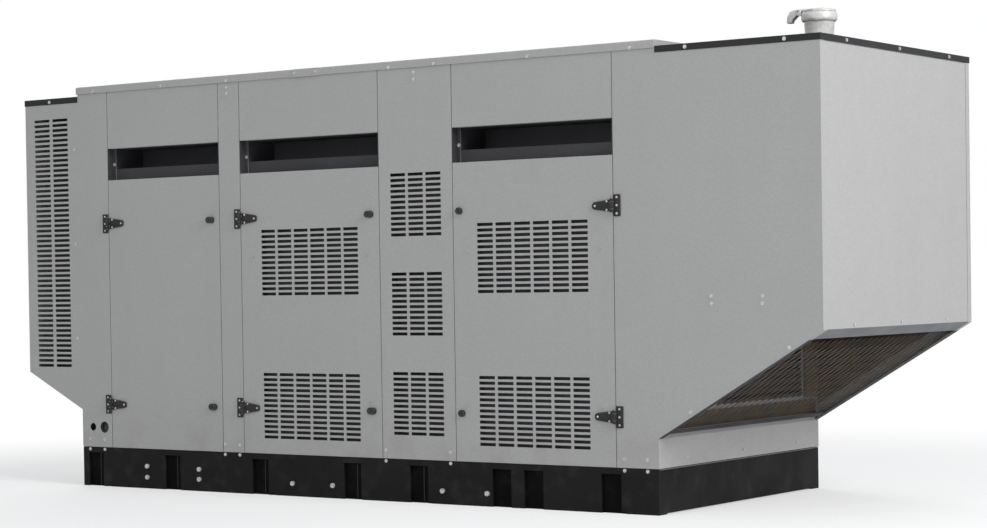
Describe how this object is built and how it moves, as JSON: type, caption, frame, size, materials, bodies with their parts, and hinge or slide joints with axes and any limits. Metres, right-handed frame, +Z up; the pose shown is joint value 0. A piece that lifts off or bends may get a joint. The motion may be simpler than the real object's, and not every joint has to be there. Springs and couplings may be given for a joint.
{
  "type": "standby generator set",
  "caption": "Standby generator set in a grey sheet-metal weather enclosure on a black steel base, with hinged service doors, air hoods at both ends and a capped exhaust stack.",
  "frame": {"origin": "on the ground plane at the centre of the outer anchor bolt pattern, which is the centre of the main body", "axes": "+X along the body towards the discharge hood and the exhaust stack, -Y out of the front doors, +Z up"},
  "size_m": [4.058, 1.354, 1.944],
  "materials": {
    "enclosure_paint": "satin grey powder coat with a fine texture",
    "base_black": "semi-gloss black paint",
    "duct_black": "satin black paint",
    "trim_dark": "satin dark grey paint",
    "screen_steel": "weathered expanded steel",
    "exhaust_steel": "aluminised steel, dull",
    "galvanised_steel": "galvanised, spangled",
    "hinge_dark": "dark grey coated casting",
    "bright_steel": "bright zinc plate",
    "engine_paint": "semi-gloss engine enamel",
    "engine_black": "satin black paint",
    "cast_aluminium": "as cast, grained",
    "cast_manifold": "heat-stained casting",
    "radiator_black": "satin black coat",
    "black_rubber": "matt",
    "cabinet_paint": "light grey powder coat",
    "breaker_paint": "grey powder coat",
    "battery_plastic": "moulded case",
    "gas_pipe_paint": "yellow gas pipe paint",
    "machined_steel": "machined, oiled",
    "fan_plastic": "moulded",
    "stop_red": "moulded, glossy",
    "handle_black": "moulded",
    "latch_black": "moulded, satin"
  },
  "bodies": {
    "enclosure": {"base_rails": "base_black", "base_end_plates": "base_black", "base_crossmembers": "base_black", "skid_rails": "base_black", "corner_posts": "enclosure_paint", "mid_posts": "enclosure_paint", "fixed_panels": "enclosure_paint", "header_panels": "enclosure_paint", "slot_ducts": "duct_black", "door_seals": "black_rubber", "roof_panels": "enclosure_paint", "end_walls": "enclosure_paint", "discharge_hood_sides": "enclosure_paint", "discharge_hood_end": "enclosure_paint", "discharge_hood_cap": "trim_dark", "discharge_screen": "screen_steel", "intake_hood_shell": "enclosure_paint", "intake_hood_cap": "trim_dark", "silencer": "exhaust_steel", "exhaust_pipes": "exhaust_steel", "stack_collar": "galvanised_steel", "door_hinges": "hinge_dark", "hinge_pins": "bright_steel", "fasteners": "bright_steel", "engine_block": "engine_paint", "cylinder_heads": "engine_paint", "oil_pan": "engine_black", "intake_manifold": "cast_aluminium", "exhaust_manifolds": "cast_manifold", "air_cleaner": "engine_black", "engine_electrics": "cast_aluminium", "generator_housing": "engine_paint", "isolators": "black_rubber", "radiator": "radiator_black", "hoses_and_belts": "black_rubber", "control_cabinet": "cabinet_paint", "breaker_box": "breaker_paint", "battery": "battery_plastic", "gas_train": "gas_pipe_paint"},
    "control_door": {"control_door": "enclosure_paint"},
    "front_door_2": {"front_door_2": "enclosure_paint"},
    "front_door_3": {"front_door_3": "enclosure_paint"},
    "rear_door_2": {"rear_door_2": "enclosure_paint"},
    "rear_door_3": {"rear_door_3": "enclosure_paint"},
    "latch_control_low": {"latch_control_low": "latch_black"},
    "latch_control_high": {"latch_control_high": "latch_black"},
    "latch_front_2_low": {"latch_front_2_low": "latch_black"},
    "latch_front_2_high": {"latch_front_2_high": "latch_black"},
    "latch_front_3_low": {"latch_front_3_low": "latch_black"},
    "latch_front_3_high": {"latch_front_3_high": "latch_black"},
    "latch_rear_2_low": {"latch_rear_2_low": "latch_black"},
    "latch_rear_2_high": {"latch_rear_2_high": "latch_black"},
    "latch_rear_3_low": {"latch_rear_3_low": "latch_black"},
    "latch_rear_3_high": {"latch_rear_3_high": "latch_black"},
    "rain_flap": {"rain_flap": "galvanised_steel"},
    "crank_train": {"crankshaft": "machined_steel"},
    "fan_train": {"cooling_fan": "fan_plastic"},
    "charging_train": {"charging_pulley": "machined_steel"},
    "stop_button": {"stop_button": "stop_red"},
    "breaker_handle": {"breaker_handle": "handle_black"}
  },
  "joints": [
    {"name": "control_door_swing", "type": "hinge", "parent": "enclosure", "child": "control_door", "pos_m": [-1.328, -0.669, 0.775], "axis": [0, 0, -1], "range_deg": [0, 110]},
    {"name": "front_door_2_swing", "type": "hinge", "parent": "enclosure", "child": "front_door_2", "pos_m": [-0.55, -0.669, 0.775], "axis": [0, 0, -1], "range_deg": [0, 110]},
    {"name": "front_door_3_swing", "type": "hinge", "parent": "enclosure", "child": "front_door_3", "pos_m": [1.324, -0.669, 0.775], "axis": [0, 0, 1], "range_deg": [0, 110]},
    {"name": "rear_door_2_swing", "type": "hinge", "parent": "enclosure", "child": "rear_door_2", "pos_m": [-0.55, 0.669, 0.775], "axis": [0, 0, 1], "range_deg": [0, 110]},
    {"name": "rear_door_3_swing", "type": "hinge", "parent": "enclosure", "child": "rear_door_3", "pos_m": [1.324, 0.669, 0.775], "axis": [0, 0, -1], "range_deg": [0, 110]},
    {"name": "latch_control_low_turn", "type": "hinge", "parent": "control_door", "child": "latch_control_low", "pos_m": [-0.72, -0.66, 0.37], "axis": [0, 1, 0], "range_deg": [0, 90]},
    {"name": "latch_control_high_turn", "type": "hinge", "parent": "control_door", "child": "latch_control_high", "pos_m": [-0.72, -0.66, 1.18], "axis": [0, 1, 0], "range_deg": [0, 90]},
    {"name": "latch_front_2_low_turn", "type": "hinge", "parent": "front_door_2", "child": "latch_front_2_low", "pos_m": [0.148, -0.66, 0.37], "axis": [0, 1, 0], "range_deg": [0, 90]},
    {"name": "latch_front_2_high_turn", "type": "hinge", "parent": "front_door_2", "child": "latch_front_2_high", "pos_m": [0.148, -0.66, 1.18], "axis": [0, 1, 0], "range_deg": [0, 90]},
    {"name": "latch_front_3_low_turn", "type": "hinge", "parent": "front_door_3", "child": "latch_front_3_low", "pos_m": [0.604, -0.66, 0.37], "axis": [0, -1, 0], "range_deg": [0, 90]},
    {"name": "latch_front_3_high_turn", "type": "hinge", "parent": "front_door_3", "child": "latch_front_3_high", "pos_m": [0.604, -0.66, 1.18], "axis": [0, -1, 0], "range_deg": [0, 90]},
    {"name": "latch_rear_2_low_turn", "type": "hinge", "parent": "rear_door_2", "child": "latch_rear_2_low", "pos_m": [0.148, 0.66, 0.37], "axis": [0, 1, 0], "range_deg": [0, 90]},
    {"name": "latch_rear_2_high_turn", "type": "hinge", "parent": "rear_door_2", "child": "latch_rear_2_high", "pos_m": [0.148, 0.66, 1.18], "axis": [0, 1, 0], "range_deg": [0, 90]},
    {"name": "latch_rear_3_low_turn", "type": "hinge", "parent": "rear_door_3", "child": "latch_rear_3_low", "pos_m": [0.604, 0.66, 0.37], "axis": [0, -1, 0], "range_deg": [0, 90]},
    {"name": "latch_rear_3_high_turn", "type": "hinge", "parent": "rear_door_3", "child": "latch_rear_3_high", "pos_m": [0.604, 0.66, 1.18], "axis": [0, -1, 0], "range_deg": [0, 90]},
    {"name": "rain_flap_lift", "type": "hinge", "parent": "enclosure", "child": "rain_flap", "pos_m": [1.788, 0, 1.936], "axis": [0, -1, 0], "range_deg": [0, 60]},
    {"name": "crank_turn", "type": "hinge", "parent": "enclosure", "child": "crank_train", "pos_m": [0.8, 0, 0.64], "axis": [1, 0, 0], "continuous": true},
    {"name": "fan_turn", "type": "hinge", "parent": "enclosure", "child": "fan_train", "pos_m": [1.326, 0, 0.915], "axis": [1, 0, 0], "continuous": true},
    {"name": "charging_turn", "type": "hinge", "parent": "enclosure", "child": "charging_train", "pos_m": [1.251, 0.3, 0.63], "axis": [1, 0, 0], "continuous": true},
    {"name": "stop_button_push", "type": "slide", "parent": "enclosure", "child": "stop_button", "axis": [0, 1, 0], "range_m": [0, 0.006], "stiffness_N_per_m": 600},
    {"name": "breaker_handle_throw", "type": "hinge", "parent": "enclosure", "child": "breaker_handle", "pos_m": [-0.994, -0.582, 0.57], "axis": [1, 0, 0], "range_deg": [0, 70]}
  ],
  "couplings": [
    {"joint": "fan_turn", "follows": "crank_turn", "ratio": 1.2},
    {"joint": "charging_turn", "follows": "crank_turn", "ratio": 2.25}
  ]
}
